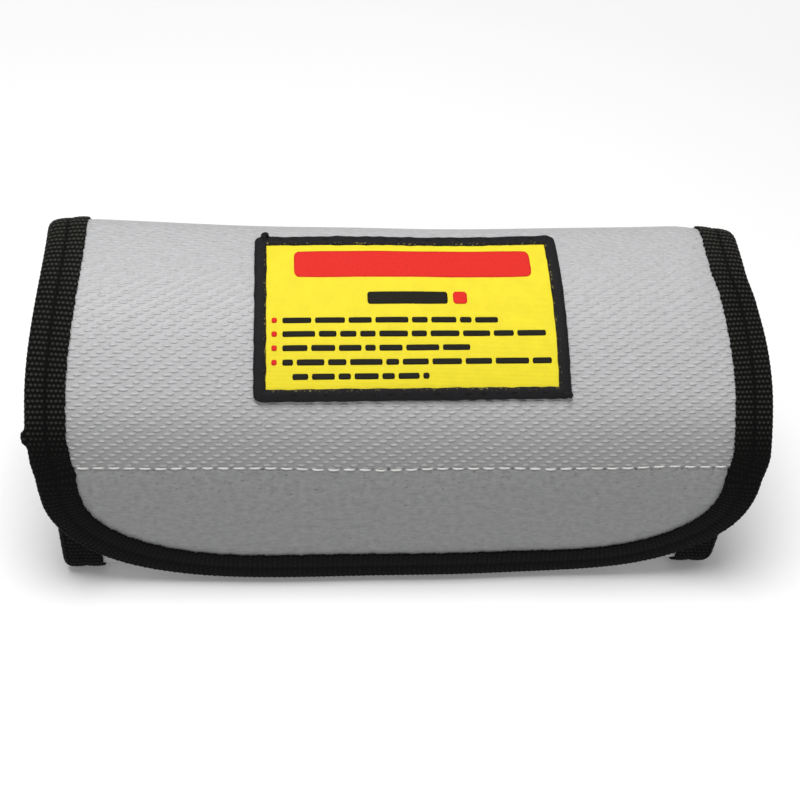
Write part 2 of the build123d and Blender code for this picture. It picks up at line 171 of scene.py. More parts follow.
def half_width(v):
    """Half the sheet's width over its tapes at the length v."""
    v = np.asarray(v, float)
    lid = CREST_HALF + (FLAP_HALF - CREST_HALF) * smooth((v - CREST_V) / (FOLD_V - CREST_V))
    drawn = lid - 1.5 * smooth((v - WAIST_V) / (FLAP_END_V - CORNER_HEIGHT - WAIST_V))
    up = np.clip((FLAP_END_V - v) / CORNER_HEIGHT, 0, 1)
    corner = CORNER_LENGTH * (1 - (1 - (1 - up) ** 2.1) ** (1 / 2.35))
    return drawn - corner


CREST_ENDS, CREST_MIDDLE = 2.1, 0.25     # the crest stands proud at its ends, less in between
EDGE_DROOP = 1.6                         # the lid's side edges hang over the end panels
BELLY = 1.6                              # the flap's lower edge stands forward of the front wall


def settle(u, v):
    """Height that the cloth gains or loses as it hangs between and past the end panels."""
    near_crest = smooth(v / 6.5) * (1 - smooth((v - CREST_V) / (FOLD_V - CREST_V + 12)))
    span = np.cos(np.clip(np.abs(u) / (SEAM_X + 4), 0, 1) * math.pi / 2) ** 0.9
    over = np.clip((np.abs(u) - SEAM_X + 3) / (CREST_HALF - SEAM_X + 3), 0, 1.2) ** 1.6
    sunk = 0.8 * smooth((u - 72) / 10)
    crest = near_crest * (CREST_ENDS + (CREST_MIDDLE - CREST_ENDS) * span - EDGE_DROOP * over - sunk)
    forward = BELLY * hill((u + 22) / 55) * smooth((v - STITCH_V) / (FLAP_END_V - STITCH_V))
    right_edge = -0.9 * hill((v - 33) / 8) * smooth((u - 80) / 12)
    return crest + forward + right_edge + 0.35 * waves(u, v, seed=4) * smooth((v - 2) / CREST_V)


def sideways(u, v):
    """How far the sheet's sides stray: the right one swells, the left one draws in low down."""
    right = 0.85 * smooth((v - 24) / 9) * (1 - smooth((v - STITCH_V) / 12)) * smooth((u - 40) / 45)
    drawn = 0.85 * smooth((v - STITCH_V + 10) / 7) + 0.45 * smooth((v - STITCH_V - 3) / 5)
    left = drawn * (1 - smooth((v - STITCH_V - 22) / 12)) * smooth((-u - 40) / 45)
    return right + left


def flap_point(u, v, height):
    """Point of lid or flap: u along X, v down the sheet, height above its outer face."""
    u, v, height = as_arrays(u, v, height)
    y, z, ny, nz = profile(v)
    crease = -0.22 * hill((v - SEWN_V) / 0.9) * smooth((FLAP_HALF - 9 - np.abs(u)) / 2)
    total = height + settle(u, v) + crease
    return np.stack([u + sideways(u, v), y + ny * total, z + nz * total], -1)


# --- the trough: front wall, underside and back wall -----------------------------------------
def trough_path():
    corner = TROUGH_RADIUS * math.pi / 2
    front = FRONT_TOP_Z - TROUGH_RADIUS
    bottom = BACK_Y - FRONT_Y - 2 * TROUGH_RADIUS
    back = HINGE_Z - TROUGH_RADIUS
    return np.cumsum([0, front, corner, bottom, corner, back])


TROUGH_STEPS = trough_path()
TROUGH_LENGTH = TROUGH_STEPS[-1]


def trough_profile(v):
    """(y, z) and outward normal, v along the outer face from the mouth to the lid's hinge."""
    v = np.asarray(v, float)
    at = [v - step for step in TROUGH_STEPS[:-1]]
    angle = sum(np.clip(at[i] / TROUGH_RADIUS, 0, math.pi / 2) for i in (1, 3)) - math.pi
    ny, nz = np.cos(angle), np.sin(angle)
    run = [np.clip(at[i], 0, TROUGH_STEPS[i + 1] - TROUGH_STEPS[i]) for i in (0, 2, 4)]
    y = FRONT_Y + TROUGH_RADIUS + run[1] + TROUGH_RADIUS * ny
    z = FRONT_TOP_Z - run[0] + run[2] + np.maximum(-at[0], 0) + TROUGH_RADIUS * nz
    return y, z, ny, nz


SEAM_LIFT = 1.15                         # keeps the end seams' tapes above the ground
PINCH = 2.4                              # each end draws in towards the ground
LEAN = 1.9                               # the front's lower edge stands forward


def slump(u, y, z):
    """How far a point of trough or end panel moves in X, Y and Z as the bag stands."""
    low = np.clip(1 - z / FRONT_TOP_Z, 0, 1)
    inward = -np.sign(u) * (PINCH + 0.7 * (u > 0)) * low * smooth((np.abs(u) - 20) / (SEAM_X - 20))
    forward = -(LEAN - 0.5 * (u > 0)) * low * smooth((8 - y) / 30)
    lift = SEAM_LIFT * smooth((np.abs(u) - 68) / 9) * np.clip(1 - z / 9, 0, 1)
    return np.stack(np.broadcast_arrays(inward, forward, lift), -1)


def trough_point(u, v, height):
    u, v, height = as_arrays(u, v, height)
    y, z, ny, nz = trough_profile(v)
    up = np.clip(z / HINGE_Z, 0, 1)
    slack = np.cos(np.clip(np.abs(u) / SEAM_X, 0, 1) * math.pi / 2)
    wall = np.sin(np.pi * np.clip((z - 1.0) / 40.0, 0, 1)) * np.abs(ny)
    free = np.minimum(up * 4, 1) * smooth((HINGE_Z - z) / 12)
    bulge = slack * wall * 0.5 + 0.3 * waves(u, v, seed=9) * np.abs(ny) * free
    total = height + bulge
    return np.stack([u, y + ny * total, z + nz * total], -1) + slump(u, y, z)


# --- mesh makers -----------------------------------------------------------------------------
def add_object(name, data):
    obj = bpy.data.objects.new(name, data)
    bpy.context.scene.collection.objects.link(obj)
    return obj


def make_object(name, slot, points, faces, uvs, sharp_above=None):
    """A mesh object from blocks of points, faces and UVs; points and UVs are in millimetres.
    Every face is turned to look outward."""
    mesh = bpy.data.meshes.new(name)
    corners = np.concatenate([np.reshape(block, (-1, 3)) for block in points]) * MM
    mesh.from_pydata(corners.tolist(), [], [face for block in faces for face in block.tolist()])
    layer = mesh.uv_layers.new(name="Cloth")
    index = np.empty(len(mesh.loops), np.int32)
    mesh.loops.foreach_get("vertex_index", index)
    flat = np.concatenate([np.reshape(block, (-1, 2)) for block in uvs])
    layer.data.foreach_set("uv", flat[index].astype(np.float32).ravel())
    mesh.polygons.foreach_set("use_smooth", np.ones(len(mesh.polygons), bool))
    work = bmesh.new()
    work.from_mesh(mesh)
    bmesh.ops.recalc_face_normals(work, faces=work.faces)
    work.to_mesh(mesh)
    work.free()
    if sharp_above:
        mesh.set_sharp_from_angle(angle=math.radians(sharp_above))
    mesh.materials.append(FINISHES[slot])
    mesh.update()
    return add_object(name, mesh)


def grid_faces(rows, columns, offset=0, wrap=False):
    """Quads of a grid of points stored row by row; wrap joins the last column to the first."""
    across = columns if wrap else columns - 1
    i, j = np.meshgrid(np.arange(rows - 1), np.arange(across), indexing="ij")
    a, b = i * columns + j, i * columns + (j + 1) % columns
    return np.stack([a, b, b + columns, a + columns], -1).reshape(-1, 4) + offset


def band(ring, offset):
    """Quads between a closed ring of points and the ring that lies offset points further on."""
    after = np.roll(ring, -1)
    return np.stack([ring, after, after + offset, ring + offset], -1)


def layer_faces(rows, columns, offset=0):
    """Faces of a closed layer: a grid of points, the grid below it, and the rim between them."""
    count = rows * columns
    index = np.arange(count).reshape(rows, columns) + offset
    ring = np.concatenate([index[0, :-1], index[:-1, -1], index[-1, :0:-1], index[:0:-1, 0]])
    grids = [grid_faces(rows, columns, start) for start in (offset, offset + count)]
    return [*grids, band(ring, count)]


def tube_faces(rings, sides, offset=0):
    """Faces of a closed tube: its wall, and its two ends."""
    ends = np.arange(sides) + np.array([[0], [(rings - 1) * sides]])
    return [grid_faces(rings, sides, offset, wrap=True), ends + offset]


def tube_points(centre, above, angle, radius):
    """Rings of points round a centre line, from the angles that count towards above; radius has a
    row for each ring."""
    ahead = unit(np.gradient(centre, axis=0))
    wide = unit(np.cross(ahead, above))
    up = np.cross(wide, ahead)
    round_it = wide[:, None] * np.cos(angle)[:, None] + up[:, None] * np.sin(angle)[:, None]
    return centre[:, None] + round_it * radius[..., None]


def grid_of(first, second):
    """The pairs of two rows of numbers, as a grid."""
    return np.stack(np.meshgrid(first, second, indexing="ij"), -1)


def circle(sides):
    return np.linspace(0, 2 * math.pi, sides, endpoint=False)


def shell(name, slot, u, v, place, top, bottom, from_v=0.0):
    """A closed layer of cloth over a grid of (u, v), between two heights above the outer face."""
    uv = np.stack([u, v - from_v], -1)
    skins = [place(u, v, height) for height in (top, bottom)]
    return make_object(name, slot, skins, layer_faces(*u.shape), [uv, uv], SHARP_EDGE)


def sheet_grid(v, half, columns):
    """(u, v) grid whose rows span the sheet's width at each length."""
    return np.outer(half, np.linspace(-1, 1, columns)), np.repeat(v[:, None], columns, 1)


def lengths(start, end, step=1.0):
    return np.linspace(start, end, max(int(round((end - start) / step)), 2) + 1)


def resample(path, step):
    """Points along a polyline at an even spacing near step, and their lengths."""
    path = np.asarray(path, float)
    at = distances(path)
    even = lengths(0, at[-1], step)
    return np.stack([np.interp(even, at, path[:, k]) for k in range(path.shape[1])], 1), even


SHARP_EDGE = 50                          # degrees between faces, above which an edge looks sharp
RIB_PITCH, BEAD_PITCH, RELIEF = 1.3, 1.1, 0.16   # woven ribs across the tape, beads along them
CHANNEL = 5.2                            # the tape's seam, in from its fold
TAPE_STEP = 0.33                         # spacing of a tape's points
TAPE_HEIGHT = 0.34                       # of the middle of the tape's legs over the cloth
TAPE_TOP, TAPE_UNDER = 0.24, -0.2        # the tape's two faces, from that middle
FRAY = 0.8                               # width of the tape's uneven selvedge


def tape_section(width, back_depth):
    """Centre line of a tape folded over an edge, from its inner leg round to its outer leg.

    Each row is the distance in from the edge, the height above the outer face and the outward
    direction in that plane, then the distance across the tape."""
    front, behind = TAPE_HEIGHT, -(back_depth + TAPE_HEIGHT)
    radius, middle = (front - behind) / 2, (front + behind) / 2
    inner = np.arange(width, radius, -TAPE_STEP)
    turn = np.linspace(-math.pi / 2, math.pi / 2, max(int(math.pi * radius / TAPE_STEP), 8))
    outer = np.arange(radius, width, TAPE_STEP)
    a = np.concatenate([inner, radius - radius * np.cos(turn), outer])
    h = np.concatenate([inner * 0 + behind, middle + radius * np.sin(turn), outer * 0 + front])
    da = np.concatenate([inner * 0, -np.cos(turn), outer * 0])
    dh = np.concatenate([inner * 0 - 1, np.sin(turn), outer * 0 + 1])
    across = distances(np.stack([a, h], 1))
    puff = 0.26 * np.sin(math.pi * np.clip((a - 0.4) / (CHANNEL - 0.4), 0, 1)) ** 0.8
    puff += 0.2 * np.sin(math.pi * np.clip((a - CHANNEL) / (width - CHANNEL), 0, 1)) * (a > CHANNEL)
    return a, h + np.sign(dh) * puff * (np.abs(dh) > 0.98), da, dh, across


def tape(name, edge, inward, place, width=TAPE_WIDTH, back=CLOTH + LINING, swell=None, ease=None):
    """Binding tape folded over an edge: edge and inward are (u, v) rows along it, swell widens its
    fold and ease lifts it along its length."""
    a, h, da, dh, across = tape_section(width, back)
    along, span = np.moveaxis(grid_of(distances(edge), across), -1, 0)
    row = np.floor(along / RIB_PITCH)
    bead = np.sin(math.pi * (span / BEAD_PITCH + 0.5 * (row % 2))) ** 2
    grown = RELIEF * np.sin(math.pi * along / RIB_PITCH) ** 2 * (0.35 + 0.65 * bead)
    fray = 0.2 * waves(along, span * 0, 27, shortest=0.9, longest=4.0)
    fray = (fray + 0.10 * np.sin(along * 2 * math.pi / RIB_PITCH)) * (a > width - FRAY)
    if swell:
        grown = grown + swell(edge)[:, None] * np.maximum(-da, 0)
    if ease:
        grown = grown + ease(edge)[:, None]
    skins = []
    for lift in (TAPE_TOP + grown, TAPE_UNDER):
        reach = a + da * lift + fray
        u, v = (edge[:, k, None] + inward[:, k, None] * reach for k in (0, 1))
        skins.append(place(u, v, h + dh * lift))
    uv = np.stack([along, span], -1)
    rows, columns = along.shape
    left = np.arange(columns - 1)
    right = 2 * columns - 1 - left
    end = np.stack([left, right, right - 1, left + 1], -1)
    faces = [grid_faces(rows, 2 * columns, wrap=True), end, end + (rows - 1) * 2 * columns]
    points = np.concatenate([skins[0], skins[1][:, ::-1]], 1)
    return make_object(name, "binding_tape", [points], faces, [np.concatenate([uv, uv[:, ::-1]], 1)])


def edge_normals(path):
    """Unit normals to the left of a (u, v) path."""
    tangent = unit(np.gradient(path, axis=0))
    return np.stack([-tangent[:, 1], tangent[:, 0]], 1)


def stitches(name, path, place, height, seed, where, *nodes, radius=0.2, slot="black_thread"):
    """Stitches along a (u, v) path, one every pitch: bowed round threads whose ends dive in."""
    fine, at = resample(path, 0.1)
    count = int(at[-1] / PITCH)
    first = (at[-1] - count * PITCH + PITCH - STITCH) / 2 + np.arange(count) * PITCH
    starts, ends = (np.stack([np.interp(s, at, fine[:, k]) for k in (0, 1)], 1)
                    for s in (first, first + STITCH))
    draw = np.random.default_rng(seed)
    rings, angle = 9, circle(8)
    t = np.linspace(0, 1, rings)
    bow = radius * 1.5 * np.sin(math.pi * t) ** 0.55 - radius * 1.1
    taper = radius * (0.55 + 0.45 * np.sin(math.pi * t) ** 0.4)[:, None]
    points, faces, uvs = [], [], []
    for start, end in zip(starts, ends):
        length = np.linalg.norm(end - start)
        left = np.array([start[1] - end[1], end[0] - start[0]]) / length
        stray = draw.uniform(-0.06, 0.06) * np.sin(math.pi * t)
        u, v = (start + (end - start) * t[:, None] + left * stray[:, None]).T
        rise = height + bow + draw.uniform(-0.03, 0.03)
        centre = place(u, v, rise)
        faces += tube_faces(rings, len(angle), offset=len(points) * rings * len(angle))
        points.append(tube_points(centre, place(u, v, rise + 1.0) - centre, angle, taper))
        uvs.append(grid_of(t * length, angle))
    return hold(make_object(name, slot, points, faces, uvs), where, *nodes)


# --- materials -------------------------------------------------------------------------------
def operator(operation, swapped=False):
    """An arithmetic operator of Value, which adds a math node."""
    def method(self, other):
        return self.nodes.math(operation, *((other, self) if swapped else (self, other)))
    return method


class Value:
    """A number, colour or vector in a node tree; arithmetic on it adds math nodes."""

    def __init__(self, nodes, socket):
        self.nodes, self.socket = nodes, socket

    def __abs__(self):
        return self.nodes.math("ABSOLUTE", self)

    __add__, __radd__ = operator("ADD"), operator("ADD", swapped=True)
    __sub__, __rsub__ = operator("SUBTRACT"), operator("SUBTRACT", swapped=True)
    __mul__, __truediv__ = operator("MULTIPLY"), operator("DIVIDE")
    __pow__, __mod__ = operator("POWER"), operator("MODULO")


class Nodes:
    """Small helper for building a material's node tree."""

    def __init__(self, name):
        self.material = bpy.data.materials.new(name)
        self.material.use_nodes = True
        self.tree = self.material.node_tree
        self.shader = self.tree.nodes["Principled BSDF"]

    def add(self, kind, *values, **settings):
        """A node with its settings, and values put into its first inputs."""
        node = self.tree.nodes.new(kind)
        for key, value in settings.items():
            setattr(node, key, value)
        for value, socket in zip(values, node.inputs):
            self.put(value, socket)
        return node

    def put(self, value, socket):
        if isinstance(value, Value):
            self.tree.links.new(value.socket, socket)
        else:
            socket.default_value = value

    def math(self, operation, *values):
        return Value(self, self.add("ShaderNodeMath", *values, operation=operation).outputs[0])

    def wave(self, value, length):
        return self.math("SINE", value * (2 * math.pi / length))

    def vector_math(self, operation, *values, output="Vector"):
        return Value(self, self.add("ShaderNodeVectorMath", *values, operation=operation).outputs[output])

    def uv(self):
        """The place on the cloth in millimetres: as a vector, along it and across it."""
        vector = Value(self, self.add("ShaderNodeUVMap", uv_map="Cloth").outputs[0])
        split = self.add("ShaderNodeSeparateXYZ", vector)
        return vector, Value(self, split.outputs[0]), Value(self, split.outputs[1])

    def noise(self, vector, scale, detail=2.0, roughness=0.5):
        node = self.add("ShaderNodeTexNoise")
        values = {"Vector": vector, "Scale": scale, "Detail": detail, "Roughness": roughness}
        for name, value in values.items():
            self.put(value, node.inputs[name])
        return Value(self, node.outputs[0])

    def remap(self, value, low, high, to_low=0.0, to_high=1.0, smooth_step=False):
        kind = "SMOOTHSTEP" if smooth_step else "LINEAR"
        node = self.add("ShaderNodeMapRange", value, low, high, to_low, to_high, interpolation_type=kind)
        return Value(self, node.outputs[0])

    def ramp(self, value, *stops):
        """A colour between two stops, each a place and a colour."""
        node = self.add("ShaderNodeValToRGB", value)
        for element, (place, colour) in zip(node.color_ramp.elements, stops):
            element.position, element.color = place, (*colour, 1)
        return Value(self, node.outputs[0])

    def mix(self, factor, first, second):
        node = self.add("ShaderNodeMix", factor, data_type="RGBA")
        for value, socket in ((first, node.inputs[6]), (second, node.inputs[7])):
            self.put((*value, 1) if isinstance(value, tuple) else value, socket)
        return Value(self, node.outputs[2])

    def bump(self, height, distance_mm):
        node = self.add("ShaderNodeBump")
        self.put(distance_mm * MM, node.inputs["Distance"])
        self.put(height, node.inputs["Height"])
        self.tree.links.new(node.outputs[0], self.shader.inputs["Normal"])

    def finish(self, colour, roughness, sheen=0.0, specular=0.5):
        self.put(colour, self.shader.inputs["Base Color"])
        self.put(roughness, self.shader.inputs["Roughness"])
        self.shader.inputs["Sheen Weight"].default_value = sheen
        self.shader.inputs["Sheen Roughness"].default_value = 0.5
        self.shader.inputs["Specular IOR Level"].default_value = specular
        return self.material


LABEL_BORDER = 2.9                       # width of the label's raised edge
WEAVE_ROW, WEAVE_PERIOD, WEAVE_SHIFT = 0.905, 4.31, 2.70
PITCH, STITCH = 3.9, 2.8                 # of every seam: from stitch to stitch, and a stitch
PIT_SHIFT = 1000.5 * PITCH               # keeps the count of stitches above nought
PIT = 0.5                                # radius of the painted shadow spot in each stitch hole


def cloth_material():
    """Silver coated glass cloth: a satin weave of long raised threads, pressed flat low down, with painted shade
    and highlights.
    """
    m = Nodes("glass_cloth")
    vector, u, v = m.uv()
    wobble = (m.noise(vector, 0.16) - 0.5) * 1.6
    jitter = (m.noise(vector, 0.9) - 0.5) * 0.7
    row_at = (v + wobble * 0.35) / WEAVE_ROW
    across = m.math("FRACT", row_at) - 0.5
    shifted = u + (wobble + jitter) - m.math("FLOOR", row_at) * WEAVE_SHIFT
    along = m.math("FRACT", shifted / WEAVE_PERIOD) - 0.5
    bump = 1.0 - ((abs(along) * 3.5) ** 2.0 + (abs(across) * 2.0) ** 2.0)
    raised = m.math("MAXIMUM", bump, 0.0) * m.remap(m.noise(vector, 0.7), 0.3, 0.6, 0.55, 1.0)
    pressed = m.remap(v, SEWN_V, SEWN_V + 1.0, 1.0, 0.03, smooth_step=True)
    low_down = m.remap(v, CREST_V, STITCH_V - 6.0, smooth_step=True)
    grain = m.noise(vector, 2.6, 3.0, 0.6)
    weave = raised * (pressed * m.remap(low_down, 0.0, 1.0, 0.75, 1.7))
    m.bump(weave + grain * 0.25, 0.22)
    mottle = m.noise(vector, 0.5, 4.0, 0.65)
    stretched = m.vector_math("MULTIPLY", vector, (0.6, 1.35, 1.0))
    sparse = m.remap(v, SEWN_V + 1.0, SEWN_V + 12.0, 0.655, 0.72)
    speck = m.remap(m.noise(stretched, 1.1, 1.0, 0.4) - sparse, 0.0, 0.03)
    smudge = m.noise(stretched, 0.9, 3.0, 0.7)
    shade = m.ramp(mottle * 0.7 + grain * 0.3, (0.3, (0.385, 0.385, 0.390)), (0.7, (0.470, 0.470, 0.480)))
    below = m.remap(v, SEWN_V - 0.2, SEWN_V + 1.2, smooth_step=True)
    smudged = mottle * 0.45 + smudge * 0.55
    # below the closure's stitches the pressed panel is darker: partly its own flatter coating, partly painted
    # shade carried on from the darkening above
    pressed_tone_and_shade = m.ramp(smudged, (0.36, (0.188, 0.191, 0.190)), (0.62, (0.268, 0.271, 0.270)))
    # painted shade: the colour darkens from just above the fold down to the closure's stitches, where the light
    # falls off
    painted_shade_low = m.remap(v, FOLD_V - 5, SEWN_V - 1, 0.0, 0.72, smooth_step=True)
    shade = m.mix(painted_shade_low, shade, (0.2, 0.2, 0.2))
    # painted highlight: the raised threads' tops are painted lighter, more so low down where the light grazes them
    top = raised ** 1.4 * m.remap(low_down, 0.0, 1.0, 0.3, 0.6)
    shade = m.mix(top, shade, (0.56, 0.56, 0.565))
    shade = m.mix(below, shade, pressed_tone_and_shade)
    colour = m.mix(speck * m.remap(below, 0.0, 1.0, 0.25, 0.7), shade, (0.12, 0.12, 0.11))
    # painted shadow: a dark spot in each stitch hole along the closure
    across_pit = (m.math("FRACT", (u + PIT_SHIFT) / PITCH) - 0.5) * (PITCH / PIT)
    along_pit = (v - (SEWN_V + 0.1)) / PIT
    near = abs(across_pit) ** 2.0 + abs(along_pit) ** 2.0
    pit_shadow = m.remap(m.noise(vector, 0.35), 0.4, 0.62, 0.1, 0.85)
    colour = m.mix(m.remap(near, 0.4, 1.0, 1.0, 0.0) * pit_shadow, colour, (0.06, 0.06, 0.06))
    return m.finish(colour, m.remap(grain, 0.3, 0.7, 0.42, 0.58), sheen=0.12, specular=0.45)


def lining_material():
    """Thin grey coated lining with a fine plain weave."""
    m = Nodes("lining")
    vector, u, v = m.uv()
    height = m.wave(u, 0.8) * m.wave(v, 0.8) + m.noise(vector, 1.2, 3.0, 0.6)
    colour = m.ramp(m.noise(vector, 0.3, 4.0, 0.6), (0.3, (0.36, 0.37, 0.38)), (0.7, (0.46, 0.47, 0.48)))
    m.bump(height, 0.08)
    return m.finish(colour, m.remap(height, -1.0, 2.0, 0.6, 0.45), sheen=0.1, specular=0.4)


def tape_material(name, bead_highlight=1.0, length=None, channel=None):
    """Black woven binding tape whose ribs of beads carry a painted highlight; given its length and where its
    channel lies, painted shade dulls the beads far from the tape's ends and in the channel."""
    m = Nodes(name)
    vector, along, across = m.uv()
    row_at = along / RIB_PITCH
    odd = m.math("FLOOR", row_at) % 2.0 * 0.5
    rib = m.math("SINE", row_at * math.pi) ** 2.0
    bead = m.math("SINE", (across / BEAD_PITCH + odd) * math.pi) ** 2.0
    spot = rib * (0.3 + bead * 0.7)
    fibre = m.noise(vector, 3.0, 3.0, 0.7)
    # painted highlight: the beads' tops are lighter in colour than the tape between them
    shine = spot * m.remap(fibre, 0.3, 0.7, 0.5 * bead_highlight, bead_highlight)
    if length:
        from_end = m.math("MINIMUM", along, length - along)
        lid_part = FOLD_V - TAPE_START_V
        # painted shade: the beads are darker along the flap, past the lid's part of the tape, where the light
        # falls off
        painted_flap_shade = m.remap(from_end, lid_part + 2.0, lid_part + 15.0, 1.0, 0.4, smooth_step=True)
        # painted shade: darker still in the channel's groove
        shine = shine * (painted_flap_shade * m.remap(abs(across - channel), 0.1, 0.7, 0.25, 1.0))
        shine = shine + m.remap(from_end, 6.0, 28.0, 0.14, 0.0)
    colour = m.ramp(shine, (0.18, (0.0012, 0.0012, 0.0011)), (0.92, (0.046, 0.045, 0.038)))
    m.bump(spot * 0.6 + fibre * 0.4, 0.08)
    return m.finish(colour, m.remap(shine, 0.0, 1.0, 0.8, 0.5), specular=0.10)


def thread_material(name, dark, light, gloss=0.4):
    """Twisted sewing thread: slanting plies along its length."""
    m = Nodes(name)
    vector, along, turn = m.uv()
    ply = m.math("SINE", along * (2 * math.pi / PLY) + turn * 2.0)
    value = ply * 0.35 + m.noise(vector, 4.0, 2.0)
    m.bump(value, 0.06)
    colour = m.ramp(value, (0.1, dark), (0.9, light))
    return m.finish(colour, m.remap(value, 0.0, 1.0, 0.75, 0.5), specular=gloss)


def label_material():
    """Yellow satin-woven label field."""
    m = Nodes("label_weave")
    vector, u, v = m.uv()
    height = m.wave(v, LABEL_PICK) * 0.6 + m.wave(u + v * 0.4, 0.5) * 0.4
    cloud = m.noise(vector, 0.25, 3.0, 0.6)
    m.bump(height, 0.03)
    colour = m.ramp(height * 0.06 + cloud, (0.3, (0.78, 0.645, 0.008)), (0.7, (0.84, 0.705, 0.014)))
    return m.finish(colour, m.remap(cloud, 0.3, 0.7, 0.5, 0.6), sheen=0.1, specular=0.3)


def border_material():
    """Black overlocked thread, laid side by side over the label's edge, with bare yellow specks."""
    m = Nodes("label_edge")
    vector, along, across = m.uv()
    value = m.wave(along + across * 0.35, 0.42) * 0.25 + m.noise(vector, 3.0, 3.0, 0.7)
    m.bump(value, 0.08)
    colour = m.ramp(value, (0.2, (0.003, 0.0028, 0.0035)), (0.85, (0.02, 0.018, 0.02)))
    inside = m.remap(abs(across - LABEL_BORDER * math.pi * 0.4), 0.1, 0.9, 0.9, 0.0)
    bare = m.remap(m.noise(vector, 1.3, 2.0, 0.6), 0.60, 0.66) * inside
    colour = m.mix(bare, colour, (0.34, 0.29, 0.09))
    return m.finish(colour, m.remap(value, 0.0, 1.0, 0.8, 0.55), specular=0.15)


def ink_material(name, dark, light):
    """Matt ink that sits in the label's weave."""
    m = Nodes(name)
    vector, _, v = m.uv()
    patch = m.noise(vector, 1.4, 4.0, 0.7)
    m.bump(m.wave(v, LABEL_PICK) + patch, 0.03)
    colour = m.ramp(patch, (0.3, dark), (0.7, light))
    return m.finish(colour, m.remap(patch, 0.3, 0.7, 0.5, 0.7), specular=0.15)


def pile_material(name, light, scale):
    """Black hook or loop pile."""
    m = Nodes(name)
    tuft = m.noise(m.uv()[0], scale, 4.0, 0.75)
    m.bump(tuft, 0.35)
    colour = m.ramp(tuft, (0.35, (0.008, 0.008, 0.008)), (0.65, (light, light, light)))
    return m.finish(colour, m.remap(tuft, 0.3, 0.7, 0.85, 0.65), sheen=0.1)


PLY, LABEL_PICK = 0.55, 0.32             # from ply to ply of a thread, and from pick to pick
FINISHES = {
    "glass_cloth": cloth_material(),
    "lining": lining_material(),
    "binding_tape": tape_material("binding_tape", bead_highlight=0.55),
    "white_thread": thread_material("white_thread", (0.50, 0.50, 0.48), (0.76, 0.76, 0.74)),
    "black_thread": thread_material(
        "black_thread", (0.0015, 0.0015, 0.0015), (0.008, 0.008, 0.0075), gloss=0.06),
    "label_weave": label_material(),
    "label_edge": border_material(),
    "red_ink": ink_material("red_ink", (0.66, 0.018, 0.013), (0.78, 0.030, 0.020)),
    "black_ink": ink_material("black_ink", (0.006, 0.006, 0.003), (0.016, 0.014, 0.008)),
    "loop_pile": pile_material("loop_pile", 0.045, 1.6),
    "hook_pile": pile_material("hook_pile", 0.035, 2.4),
}

# --- places where pieces bend ----------------------------------------------------------------
HINGE_ZONE = 6.2                         # the lid's cloth bends from the hinge to this length
HINGE_BELOW = 4.0                        # and the back wall's from this far below the hinge
FOLD_ZONE = 5.0                          # the flap bends this far either side of its fold


def point_on_profile(v):
    y, z, _, _ = profile(v)
    return Vector((0.0, float(y) * MM, float(z) * MM))


BENDS = {
    "over_hinge": ("bag", "lid", Vector((0, BACK_Y * MM, (HINGE_Z - HINGE_BELOW) * MM)),
                   point_on_profile(HINGE_ZONE)),
    "over_fold": ("lid", "front_flap", point_on_profile(FOLD_V - FOLD_ZONE),
                  point_on_profile(FOLD_V + FOLD_ZONE)),
}


def hold(piece, where, *nodes):
    """The piece rides on a body, or stays fixed in place when it lies over a bend, and stands for the nodes."""
    if where in BENDS:
        first, second, start, end = BENDS[where]
        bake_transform(piece)
        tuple(start)
        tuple(end)
    else:
        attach(piece, where)
    if nodes:
        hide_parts(*nodes)
    return piece


# --- cloth and lining ------------------------------------------------------------------------
FOLD_CUT_V = 9.0                         # the fold's own piece ends here, on top of the bag
WALL_CUT = 8.0                           # and starts this far below the hinge
CUT_EDGE = 0.7                           # cloth stops this far inside its tape's fold
TAPE_START_V = 6.4                       # the lid's tapes start behind the crest
BODY_SHEET_HALF = BODY_HALF - CUT_EDGE
COLUMNS = 161
CORNER_EASE = 2.2                        # how much closer rows lie towards the flap's lower edge


def flap_rows():
    """Rows from the crest to the flap's lower edge, closer together round the corners."""
    start = FLAP_END_V - CUT_EDGE - CORNER_HEIGHT
    ease = 1 - (1 - np.linspace(0, 1, 56)[1:]) ** CORNER_EASE
    return np.concatenate([lengths(FOLD_CUT_V, start), start + CORNER_HEIGHT * ease])


def fold_point(u, v, height):
    """The sheet across the hinge: lid above it, back wall below it at lengths under nought."""
    wall = trough_point(u, TROUGH_LENGTH + np.minimum(v, 0), height)
    return np.where((np.asarray(v) < 0)[..., None], wall, flap_point(u, np.maximum(v, 0), height))


def seam_point(u, v, height):
    """The trough and, beyond its length, the lid."""
    return fold_point(u, v - TROUGH_LENGTH, height)


def fold_half(v):
    """The cloth widens from the end seams to the lid's own width behind the crest."""
    wider = half_width(np.maximum(v, 0)) - CUT_EDGE - BODY_SHEET_HALF
    return BODY_SHEET_HALF + wider * smooth((v + 1.0) / (FOLD_CUT_V + 1.0))


def make_layer(kind, slot, top, bottom, inset, wrap_node, flap_nodes):
    """The three pieces of one layer: trough, fold over the hinge, and lid with drop flap."""
    wrap_v, fold_v = lengths(0.0, TROUGH_LENGTH - WALL_CUT), lengths(-WALL_CUT, FOLD_CUT_V, 0.5)
    flap_v = flap_rows()
    wrap_half, flap_half = np.full(len(wrap_v), BODY_SHEET_HALF), half_width(flap_v) - CUT_EDGE
    plans = (
        ("wrap_", wrap_v, wrap_half, trough_point, TROUGH_LENGTH, "bag", wrap_node),
        ("fold_", fold_v, fold_half(fold_v), fold_point, 0.0, "over_hinge"),
        ("lid_and_flap_", flap_v, flap_half, flap_point, 0.0, "over_fold", *flap_nodes),
    )
    pieces = []
    for name, v, half, place, from_v, where, *nodes in plans:
        grid = sheet_grid(v, half - inset, COLUMNS)
        pieces.append(hold(shell(name + kind, slot, *grid, place, top, bottom, from_v), where, *nodes))
    return pieces


